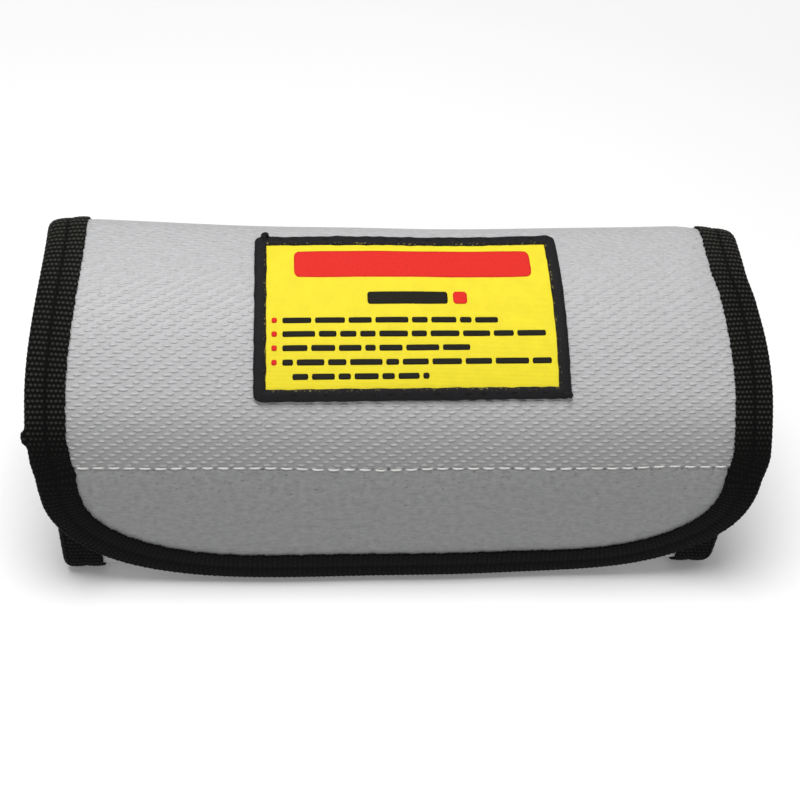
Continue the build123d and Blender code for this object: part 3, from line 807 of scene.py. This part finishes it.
cloth_layer = make_layer(
    "cloth", "glass_cloth", 0.0, -CLOTH + 0.1, 0.0, "outer_wrap", ("lid_cloth", "flap_cloth"))
lining_layer = make_layer(
    "lining", "lining", -CLOTH, -CLOTH - LINING, 0.3, "lining_wrap", ("lid_lining", "flap_lining"))


# --- tape round the flap ---------------------------------------------------------------------
def flap_edge():
    """The sheet's edge, down its left side, along its lower edge and up its right side."""
    ease = 1 - (1 - np.linspace(0, 1, 400)[1:]) ** CORNER_EASE
    straight = lengths(TAPE_START_V, FLAP_END_V - CORNER_HEIGHT)
    side = np.concatenate([straight, FLAP_END_V - CORNER_HEIGHT * (1 - ease)])
    left = np.stack([-half_width(side), side], 1)
    sole = left[-1, 0]
    bottom = np.stack([np.linspace(sole, -sole, 80)[1:-1], np.full(78, FLAP_END_V)], 1)
    return resample(np.concatenate([left, bottom, left[::-1] * (-1, 1)]), TAPE_STEP)[0]


NUB_V, NUB_RISE, NUB_REACH = FOLD_V + 9.0, 1.05, 1.9


def nub(edge):
    """The overlap where the tape's two ends were joined, on the left edge."""
    return NUB_RISE * np.exp(-(((edge[:, 1] - NUB_V) / NUB_REACH) ** 4)) * (edge[:, 0] < 0)


flap_outline = flap_edge()
flap_tape = hold(tape("flap_edge_tape", flap_outline, -edge_normals(flap_outline), flap_point, swell=nub),
                 "over_fold", "lid_binding_left", "lid_binding_right", "flap_binding")
channel_at = tape_section(TAPE_WIDTH, CLOTH + LINING)[-1][-1] - TAPE_WIDTH + CHANNEL
flap_tape.data.materials[0] = tape_material(
    "flap_binding_tape", length=TAPE_STEP * (len(flap_outline) - 1), channel=channel_at)

# --- end seams, panels and rims --------------------------------------------------------------
SIDES = {"left": -1, "right": 1}
LID_GAP = 3.0                            # from the lid's outer face down to an end panel's top
PANEL_BULGE = 1.6                        # how far an end panel's middle stands out
SEAM_END_V = 7.4                         # the end seam's tape runs on over the hinge to here
END_BACK = 1.9                           # depth of wrap and end panel inside an end seam


def under_lid(depth, v):
    """(y, z) along the lid's underside above an end panel, at a depth below its outer face."""
    y, z, ny, nz = profile(v)
    depth = depth - settle(np.full(len(v), SEAM_X), v)
    return y - ny * depth, z - nz * depth


def end_outline(wall_depth):
    """Closed (y, z) outline of an end panel: the trough's inside, closed by the lid's underside."""
    front, back = FRONT_Y + wall_depth, BACK_Y - wall_depth
    y, z = under_lid(LID_GAP, np.linspace(0, FOLD_V + 17, 400))
    top = np.stack([np.minimum(y, back), z], 1)
    top = top[top[:, 0] >= front]
    y, z, ny, nz = trough_profile(np.linspace(0, TROUGH_LENGTH, 400))
    wall = np.stack([y - ny * wall_depth, z - nz * wall_depth], 1)
    return resample(np.concatenate([wall, top, [[front, top[-1, 1]], [front, FRONT_TOP_Z]]]), 1.0)[0][:-1]


def disc(name, slot, outline, x, side, thickness):
    """A panel across the bag's end, bulging a little outward, as a closed layer."""
    middle = outline.mean(0)
    rings = np.linspace(0, 1, 24)[:, None] ** 0.8
    yz = middle + (outline - middle) * rings[..., None]
    y, z = np.moveaxis(yz, -1, 0)
    bulge = (1 - rings**2) * PANEL_BULGE + 0.3 * waves(y, z, seed=13 + side) * (1 - rings**4)
    points = []
    for shift in (thickness, 0.0):
        out = side * (x + bulge + shift)
        points.append(np.stack([out, y, z], -1) + slump(out, y, z))
    rows, columns = out.shape
    faces = [grid_faces(rows, columns, start, wrap=True) for start in (0, out.size)]
    faces.append(band(out.size - columns + np.arange(columns), out.size))
    return make_object(name, slot, points, faces, [yz, yz], SHARP_EDGE)


def tucked_end(edge):
    """The seam's tape thins where the lid's tape covers it."""
    return -0.42 * smooth((edge[:, 1] - TROUGH_LENGTH - 4.2) / 1.6)


seam_v = lengths(0.2, TROUGH_LENGTH + SEAM_END_V, TAPE_STEP)
PANELS = {
    "cloth": ("glass_cloth", "end_panel_", 1.2, SEAM_X - CLOTH + 0.1, CLOTH - 0.1),
    "lining": ("lining", "lining_end_", 1.8, SEAM_X - CLOTH - LINING, LINING),
}
for name, side in SIDES.items():
    path = np.stack([side * (fold_half(seam_v - TROUGH_LENGTH) + CUT_EDGE), seam_v], 1)
    inward = np.tile([-float(side), 0.0], (len(path), 1))
    hold(tape("end_tape_" + name, path, inward, seam_point, back=END_BACK, ease=tucked_end),
         "over_hinge", "end_binding_" + name)
    for kind, (slot, node, wall_depth, x, thickness) in PANELS.items():
        panel = disc(f"end_{kind}_{name}", slot, end_outline(wall_depth), x, side, thickness)
        hold(panel, "bag", node + name)


# --- rims, mouth, strips ---------------------------------------------------------------------
def rim_path():
    """(y, z) along an end panel's free upper edge, from the back seam to the front wall."""
    y, z = under_lid(CLOTH + LINING + 0.9, np.linspace(5.0, FOLD_V + 19, 500))
    path = np.stack([np.minimum(y, BACK_Y - 2.4), z], 1)
    path = path[(path[:, 0] > FRONT_Y + 2.4)]
    behind = [[BACK_Y - 1.6, path[0, 1] - 1.8]]
    down = np.linspace(path[-1, 1], FRONT_TOP_Z - 3.0, 40)[1:]
    return resample(np.concatenate([behind, path, np.stack([np.full(39, path[-1, 0]), down], 1)]), TAPE_STEP)


def fan_out(normals, window=43):
    """Normals averaged along a path, so that a wide tape's rows don't cross at a tight corner."""
    half = window // 2
    padded = np.concatenate([np.tile([0.0, -1.0], (half, 1)), normals, np.tile(normals[-1], (half, 1))])
    return unit(np.stack([np.convolve(padded[:, k], np.ones(window) / window, "valid") for k in (0, 1)], 1))


RIM_PATH, RIM_AT = rim_path()
RIM_INWARD = fan_out(edge_normals(RIM_PATH))


def rim_place(side):
    """Maps (length, depth, height) to a point: down into the panel's plane, height outward."""
    def place(u, v, height):
        u, v, height = as_arrays(u, v, height)
        y, z = (np.interp(u, RIM_AT, RIM_PATH[:, k]) + np.interp(u, RIM_AT, RIM_INWARD[:, k]) * v
                for k in (0, 1))
        bulge = PANEL_BULGE * 0.25 * np.clip(v / TAPE_WIDTH, 0, 1)
        return np.stack([side * (SEAM_X + bulge + height), y, z], -1)
    return place


STRIP_HALF, STRIP_HEIGHT = 70.0, 20.0
GROUND = 0.35                            # thickness of a strip's woven ground


def pile(name, slot, v_low, v_high, place, base, top, pitch, seed, hooked):
    """A strip of touch fastener: a woven ground with rows of small loops or hooks on it."""
    draw = np.random.default_rng(seed)
    rows = np.arange(v_low + pitch, v_high - pitch * 0.6, pitch)
    places = np.arange(-STRIP_HALF + pitch, STRIP_HALF - pitch * 0.6, pitch)
    v_at, u_at = np.meshgrid(rows, places, indexing="ij")
    u_at = u_at + pitch / 2 * (np.arange(len(rows)) % 2)[:, None]
    count, rings, angle, thick = u_at.size, 6, circle(4), 0.10
    spin = draw.uniform(-0.5, 0.5, count) + (0 if hooked else draw.uniform(-1.2, 1.2, count))
    grow = draw.uniform(0.75, 1.0, count)[:, None, None]
    turn = np.linspace(0, math.pi * (0.8 if hooked else 1.0), rings)[:, None]
    a = (thick * np.cos(angle) + 0.42 * pitch) * -np.cos(turn)
    b = thick * np.sin(angle)
    rise = np.sin(turn) ** 0.7 * (abs(top - base) - thick) + thick * np.cos(angle) * np.sin(turn)
    cos, sin = np.cos(spin)[:, None, None], np.sin(spin)[:, None, None]
    u = u_at.reshape(-1, 1, 1) + a * cos - b * sin
    v = v_at.reshape(-1, 1, 1) + a * sin + b * cos
    up = base + np.sign(top - base) * np.maximum(rise * grow, -0.05)
    single = np.concatenate(tube_faces(rings, len(angle)))
    tufts = (single + (np.arange(count) * rings * len(angle))[:, None, None]).reshape(-1, 4)
    grid_v = lengths(v_low, v_high, 0.5)
    ground_u, ground_v = sheet_grid(grid_v, np.full(len(grid_v), STRIP_HALF), int(STRIP_HALF * 4) + 1)
    upper, lower = (base, base - GROUND) if top > base else (base + GROUND, base)
    weave = 0.05 * np.sin(ground_u * math.pi / 0.7) * np.sin(ground_v * math.pi / 0.7)
    ground = [place(ground_u, ground_v, height) for height in (upper + weave, lower)]
    uvs = [np.stack([u, v], -1), *2 * [np.stack([ground_u, ground_v], -1)]]
    faces = [tufts, *layer_faces(*ground_u.shape, offset=u.size)]
    return make_object(name, slot, [place(u, v, up), *ground], faces, uvs)


def line(u0, v0, u1, v1):
    return np.array([[u0, v0], [u1, v1]])


LOOP_TOP_V = FRONT_TOP_Z - node_high("loop_strip")[2]
MOUTH_TAPE_WIDTH = 8.0
MOUTH_HALF = node_high("mouth_binding")[0]
INNER_FACE = -(CLOTH + LINING)

hold(pile("loop_strip_pile", "loop_pile", LOOP_TOP_V, LOOP_TOP_V + STRIP_HEIGHT, trough_point,
          0.55, 1.6, pitch=1.15, seed=21, hooked=False), "bag", "loop_strip")
hold(pile("hook_strip_pile", "hook_pile", STITCH_V + 0.3, STITCH_V + STRIP_HEIGHT - 0.3, flap_point,
          INNER_FACE - 0.45, INNER_FACE - 1.45, pitch=1.0, seed=22, hooked=True), "front_flap", "hook_strip")


def over_seams(edge):
    """The mouth's tape rises where it runs over the end seams' tapes."""
    return 0.62 * smooth((np.abs(edge[:, 0]) - SEAM_X + 3) / 3)


mouth_u = lengths(-BODY_HALF + 0.1, BODY_HALF - 0.1, TAPE_STEP)
mouth_edge, down = np.stack([mouth_u, np.full(len(mouth_u), -0.6)], 1), np.tile([0.0, 1.0], (len(mouth_u), 1))
mouth_tape = hold(tape("mouth_tape", mouth_edge, down, trough_point, width=MOUTH_TAPE_WIDTH, ease=over_seams),
                  "bag", "mouth_binding")
stitches("mouth_thread", line(-MOUTH_HALF + 2, 4.0, MOUTH_HALF - 2, 4.0), trough_point, 0.72, 31,
         "bag", "mouth_stitches")
for name, down, *nodes in (("upper", 0.9, "loop_stitches"), ("lower", STRIP_HEIGHT - 0.9)):
    v = LOOP_TOP_V + down
    stitches("loop_thread_" + name, line(-STRIP_HALF + 1, v, STRIP_HALF - 1, v), trough_point, 1.0, 32,
             "bag", *nodes)
for name, side in SIDES.items():
    path = np.stack([RIM_AT, np.zeros(len(RIM_AT))], 1)
    hold(tape("rim_tape_" + name, path, np.tile([0.0, 1.0], (len(path), 1)), rim_place(side)),
         "bag", "rim_binding_" + name)
    x = side * (BODY_HALF - SEAM_WIDTH / 2)
    stitches("end_thread_" + name, line(x, 1.5, x, TROUGH_LENGTH - 1.5), trough_point, 0.62, 33,
             "bag", "end_stitches_" + name)

# --- stitches of lid and flap ----------------------------------------------------------------
closure_half = FLAP_HALF - TAPE_WIDTH - 0.2
wavy, at = resample(line(-closure_half, SEWN_V, closure_half, SEWN_V), 1.0)
wavy[:, 1] += 0.14 * np.sin(at / 9.0) + 0.08 * np.sin(at / 3.1 + 1.0) + 0.3 * np.cos(wavy[:, 0] / 26.0)
stitches("closure_thread", wavy, flap_point, 0.12, 41, "front_flap", "closure_stitches",
         radius=0.25, slot="white_thread")
inner = flap_outline - edge_normals(flap_outline) * CHANNEL
for name, side in SIDES.items():
    path = inner[(inner[:, 1] < FOLD_V - FOLD_ZONE - 1) & (inner[:, 0] * side > 0)]
    stitches("lid_tape_thread_" + name, path[::-side], flap_point, 0.5, 42, "lid", "lid_stitches_" + name)
stitches("flap_tape_thread", inner[inner[:, 1] > FOLD_V + FOLD_ZONE + 1], flap_point, 0.45, 43,
         "front_flap", "flap_binding_stitches")

# --- label -----------------------------------------------------------------------------------
LABEL_X, LABEL_WIDTH, LABEL_HEIGHT, LABEL_DROP = 2.0, 79.0, 45.0, 0.55
LABEL_TURN, LABEL_TAPER = math.radians(-0.8), 0.028      # sewn on slightly askew
FACE_RISE = 0.75                         # of the label's field, over the cloth
FACE_EDGE = 2.2                          # the field runs under the raised edge to here


def label_point(a, b, height):
    """The point a right of and b below the label's top-left corner, on the lid."""
    a, b, height = as_arrays(a, b, height)
    right, down = (a - LABEL_WIDTH / 2) * (1 + LABEL_TAPER * (b / LABEL_HEIGHT - 1)), b - LABEL_HEIGHT
    u = LABEL_X + right * math.cos(LABEL_TURN) - down * math.sin(LABEL_TURN)
    v = FOLD_V - LABEL_DROP + right * math.sin(LABEL_TURN) + down * math.cos(LABEL_TURN)
    part = np.clip(a / LABEL_WIDTH, 0, 1), np.clip(b / LABEL_HEIGHT, 0, 1)
    puff = 0.25 * np.sin(math.pi * part[0]) * np.sin(math.pi * part[1])
    return flap_point(u, v, height + puff + 0.12 * waves(u, v, seed=8, shortest=9, longest=30))


a, b = np.meshgrid(*(lengths(FACE_EDGE, size - FACE_EDGE, 0.5) for size in (LABEL_WIDTH, LABEL_HEIGHT)))
label_field = shell("label_field", "label_weave", a, b, label_point, FACE_RISE, 0.1)
hold(label_field, "over_fold", "label_face")


def rounded_loop(left, top, right, bottom, radius, step=0.22):
    """Closed path round a rectangle with rounded corners, and its lengths, without its last point."""
    turn = np.linspace(0, math.pi / 2, 12)
    corners = [(right - radius, top + radius, -math.pi / 2), (right - radius, bottom - radius, 0),
               (left + radius, bottom - radius, math.pi / 2), (left + radius, top + radius, math.pi)]
    points = [np.stack([x + radius * np.cos(turn + start), y + radius * np.sin(turn + start)], 1)
              for x, y, start in corners]
    path, at = resample(np.concatenate(points + [points[0][:1]]), step)
    return path[:-1], at[:-1]


def overlock(name):
    """The label's raised edge: thread laid side by side round a rounded section."""
    half = LABEL_BORDER / 2
    path, at = rounded_loop(half, half, LABEL_WIDTH - half, LABEL_HEIGHT - half, 0.4)
    tangent = unit(np.roll(path, -1, 0) - np.roll(path, 1, 0))
    outward = np.stack([tangent[:, 1], -tangent[:, 0]], 1)
    along, turned = np.moveaxis(grid_of(at, circle(28)), -1, 0)
    across = np.cos(turned)
    strand = np.abs(np.sin(math.pi * (along + 0.45 * across) / 0.62)) ** 0.7
    ragged = waves(along, turned * 0.2, seed=17, shortest=2.2, longest=9.0)
    out = np.sign(across) * np.abs(across) ** 0.8 * (half + 0.14 * strand + 0.10 * ragged)
    a, b = (path[:, k, None] + outward[:, k, None] * out for k in (0, 1))
    rise = 0.68 + np.sin(turned) * (0.62 + 0.15 * strand + 0.08 * ragged)
    rows, columns = along.shape
    faces = grid_faces(rows + 1, columns, wrap=True) % (rows * columns)
    uv = np.stack([along, turned * half], -1)
    return make_object(name, "label_edge", [label_point(a, b, rise)], [faces], [uv])


hold(overlock("label_overlock"), "over_fold", "label_border")


def thread_tail(name, points, radius):
    """A loose end of twisted thread through points of the label's own (a, b, height)."""
    points = np.asarray(points, float)
    t = np.linspace(0, len(points) - 1, 40)
    route = np.stack([np.interp(t, range(len(points)), points[:, k]) for k in range(3)], 1)
    for _ in range(6):
        route[1:-1] = (route[:-2] + 2 * route[1:-1] + route[2:]) / 4
    angle = circle(12)
    lobed = radius * (1 + 0.22 * np.cos(3 * (angle + 3.0 * t[:, None])))
    lobed *= np.minimum(1, (len(points) - 1 - t)[:, None] * 3 + 0.25)
    rings = tube_points(label_point(*route.T), (0, 0, 1.0), angle, lobed)
    piece = make_object(name, "label_edge", [rings], tube_faces(*lobed.shape), [grid_of(t * 2.0, angle)])
    return hold(piece, "over_fold")


thread_tail("label_thread_tail", [(2.6, 1.6, 0.7), (2.4, 0.7, 1.1), (2.6, 0.1, 1.2), (2.5, -0.4, 1.0)], 0.9)
thread_tail("label_thread_knot", [(76.2, 43.4, 0.8), (78.0, 44.1, 1.1), (79.4, 44.3, 0.9)], 0.8)


def patches(name, slot, bars):
    """Thin printed bars with rounded corners, lying on the label's field."""
    points, faces, uvs, offset = [], [], [], 0
    for left, right, top, bottom in bars:
        middle, half = ((left + right) / 2, (top + bottom) / 2), ((right - left) / 2, (bottom - top) / 2)
        a, b = np.meshgrid(lengths(left, right, 0.5), lengths(top, bottom, 0.5))
        x, y = (a - middle[0]) / half[0], (b - middle[1]) / half[1]
        pull = 1 - 0.24 * min(half) / np.hypot(*half) * (x * y) ** 6
        a, b = middle[0] + x * half[0] * pull, middle[1] + y * half[1] * pull
        points += [label_point(a, b, FACE_RISE + rise) for rise in (0.07, -0.05)]
        uvs += 2 * [np.stack([a, b], -1)]
        faces += layer_faces(*a.shape, offset=offset)
        offset += 2 * a.size
    return make_object(name, slot, points, faces, uvs)


def words(left, right, top, bottom, seed):
    """Bars of uneven length, as words are, that fill a line of print."""
    draw = np.random.default_rng(seed)
    bars, at = [], left
    while at < right - 1.5:
        end = min(at + draw.uniform(2.6, 8.5), right)
        bars.append((at, right if right - end < 2.2 else end, top, bottom))
        at = bars[-1][1] + 0.9
    return bars


# Plain bars stand in place of wording: left, right, top and bottom of a bar, left and right of a line.
LINES = ((7.0, 61.5), (7.0, 73.5), (7.0, 54.0), (7.0, 74.5), (9.5, 43.5))
FIRST_LINE, LINE_PITCH, LINE_HEIGHT, DOT = 24.3, 3.5, 1.45, 1.35
PRINT = {"black": [(28.5, 49.0, 17.4, 20.8)], "red": [(10.0, 71.5, 5.0, 13.2), (50.4, 54.0, 17.4, 20.8)]}
for index, (left, right) in enumerate(LINES):
    top = FIRST_LINE + index * LINE_PITCH
    PRINT["black"] += words(left, right, top, top + LINE_HEIGHT, seed=index + 50)
    if index < len(LINES) - 1:
        PRINT["red"].append((left - 2 * DOT, left - DOT, top, top + DOT))
for name, bars in PRINT.items():
    hold(patches("label_ink_" + name, name + "_ink", bars), "over_fold", "label_print_" + name)

half = LABEL_BORDER / 2
for name, b, *nodes in (("upper", half, "label_stitches"), ("lower", LABEL_HEIGHT - half)):
    stitches("label_thread_" + name, line(3, b, LABEL_WIDTH - 3, b), label_point, 1.22, 60,
             "over_fold", *nodes, radius=0.16)


# --- cut sizes -------------------------------------------------------------------------------
def declare_sheet(piece, width, length, rests_on, share=1.0):
    """Takes the size that a layer was cut to, in millimetres, and its share of that rectangle, but keeps none of
    it.
    """
    piece = bpy.data.objects[piece] if isinstance(piece, str) else piece
    length * MM
    None if share == 1.0 else share * width * length * MM * MM


END_NAMES = ["end_cloth_left", "end_cloth_right"]
for wrap, fold, flap in (cloth_layer, lining_layer):
    declare_sheet(wrap, 2 * BODY_SHEET_HALF, TROUGH_LENGTH - WALL_CUT, END_NAMES)
    declare_sheet(fold, 2 * BODY_SHEET_HALF, WALL_CUT + FOLD_CUT_V, [wrap])
    declare_sheet(flap, 2 * FLAP_HALF, FLAP_END_V - FOLD_CUT_V, END_NAMES, share=0.94)
DEPTH = BACK_Y - FRONT_Y - 2 * CLOTH
for name in SIDES:
    for kind in PANELS:
        declare_sheet(f"end_{kind}_{name}", DEPTH, HINGE_Z, ["wrap_cloth"], share=0.92)
declare_sheet(label_field, LABEL_WIDTH - LABEL_BORDER, LABEL_HEIGHT - LABEL_BORDER,
              [cloth_layer[2]])
declare_sheet(flap_tape, 2 * TAPE_WIDTH, len(flap_outline) * TAPE_STEP, ["wrap_cloth"])
declare_sheet(mouth_tape, 2 * MOUTH_TAPE_WIDTH, 2 * BODY_HALF, ["wrap_cloth"])
for name in SIDES:
    declare_sheet("end_tape_" + name, 2 * TAPE_WIDTH, TROUGH_LENGTH + SEAM_END_V, ["wrap_cloth"])
for name in SIDES:
    declare_sheet("rim_tape_" + name, 2 * TAPE_WIDTH, RIM_AT[-1], ["end_cloth_" + name])

# --- camera, light and floor -----------------------------------------------------------------
AZIMUTH, ELEVATION, ROLL = (math.radians(angle) for angle in (-7.2, 40.6, 4.8))
DISTANCE, LENS = 400.0, 72.8             # millimetres from the flap's fold, and of focal length
AIM_RIGHT, AIM_UP = -1.36, 0.62          # the picture's centre, from the middle of the flap's fold


def make_camera():
    """A camera that looks down on the bag from a little to its left, tilted a little."""
    away = Vector((math.sin(AZIMUTH) * math.cos(ELEVATION), -math.cos(AZIMUTH) * math.cos(ELEVATION),
                   math.sin(ELEVATION)))
    level = Vector((math.cos(AZIMUTH), math.sin(AZIMUTH), 0))
    upright = away.cross(level)
    right = level * math.cos(ROLL) + upright * math.sin(ROLL)
    up = away.cross(right)
    data = bpy.data.cameras.new("camera")
    data.lens, data.clip_start = LENS, 0.01
    camera = add_object("camera", data)
    target = point_on_profile(FOLD_V) + (right * AIM_RIGHT + up * AIM_UP) * MM
    place = target + away * DISTANCE * MM
    camera.matrix_world = Matrix((
        (right.x, up.x, away.x, place.x), (right.y, up.y, away.y, place.y),
        (right.z, up.z, away.z, place.z), (0, 0, 0, 1),
    ))
    bpy.context.scene.camera = camera


def make_light(name, place, target, size, energy):
    data = bpy.data.lights.new(name, "AREA")
    data.shape, data.size, data.energy = "DISK", size, energy
    light = add_object(name, data)
    light.location = Vector(place)
    light.rotation_euler = (Vector(place) - Vector(target)).to_track_quat("Z", "Y").to_euler()


def make_floor(size=20.0):
    """A pale floor, metres across, that glows as painted light: faintly near the bag, lighting it a little and
    softening its shadow, and brighter far from it.
    """
    m = Nodes("floor")
    place = Value(m, m.add("ShaderNodeTexCoord").outputs["Object"])
    shade = m.ramp(m.noise(place, 3.0), (0.3, (0.84, 0.84, 0.84)), (0.7, (0.86, 0.86, 0.86)))
    m.put(shade, m.shader.inputs["Emission Color"])
    far = m.vector_math("LENGTH", place, output="Value")
    # painted light: the floor's glow lights the bag and fills its shadow; far off it reads as a plain white
    # backdrop
    m.put(m.remap(far, 0.3, 1.3, 0.14, 0.85), m.shader.inputs["Emission Strength"])
    mesh = bpy.data.meshes.new("floor")
    corners = [(-size, -size, 0), (size, -size, 0), (size, size, 0), (-size, size, 0)]
    mesh.from_pydata(corners, [], [(0, 1, 2, 3)])
    mesh.materials.append(m.finish(shade, 0.8, specular=0.1))
    add_object("floor", mesh)


def make_world():
    world = bpy.data.worlds.new("studio")
    world.use_nodes = True
    background = world.node_tree.nodes["Background"]
    background.inputs["Color"].default_value = (1.0, 1.0, 1.0, 1.0)
    background.inputs["Strength"].default_value = 0.31
    bpy.context.scene.world = world


make_camera()
make_floor()
make_world()
make_light("overhead", (-0.08, -0.06, 0.9), (0, 0, 0.03), 0.6, 7.5)
make_light("front", (-0.5, -0.9, 0.6), (0, 0, 0.04), 0.7, 0.35)
bpy.context.scene.view_settings.view_transform = "Standard"

for name, obj in frame["nodes"].items():
    slot = next(part["material_slot"] for part in frame["record"]["subparts"] if part["node"] == name)
    for material_slot in obj.material_slots:
        material_slot.link = "OBJECT"
        material_slot.material = FINISHES[slot]
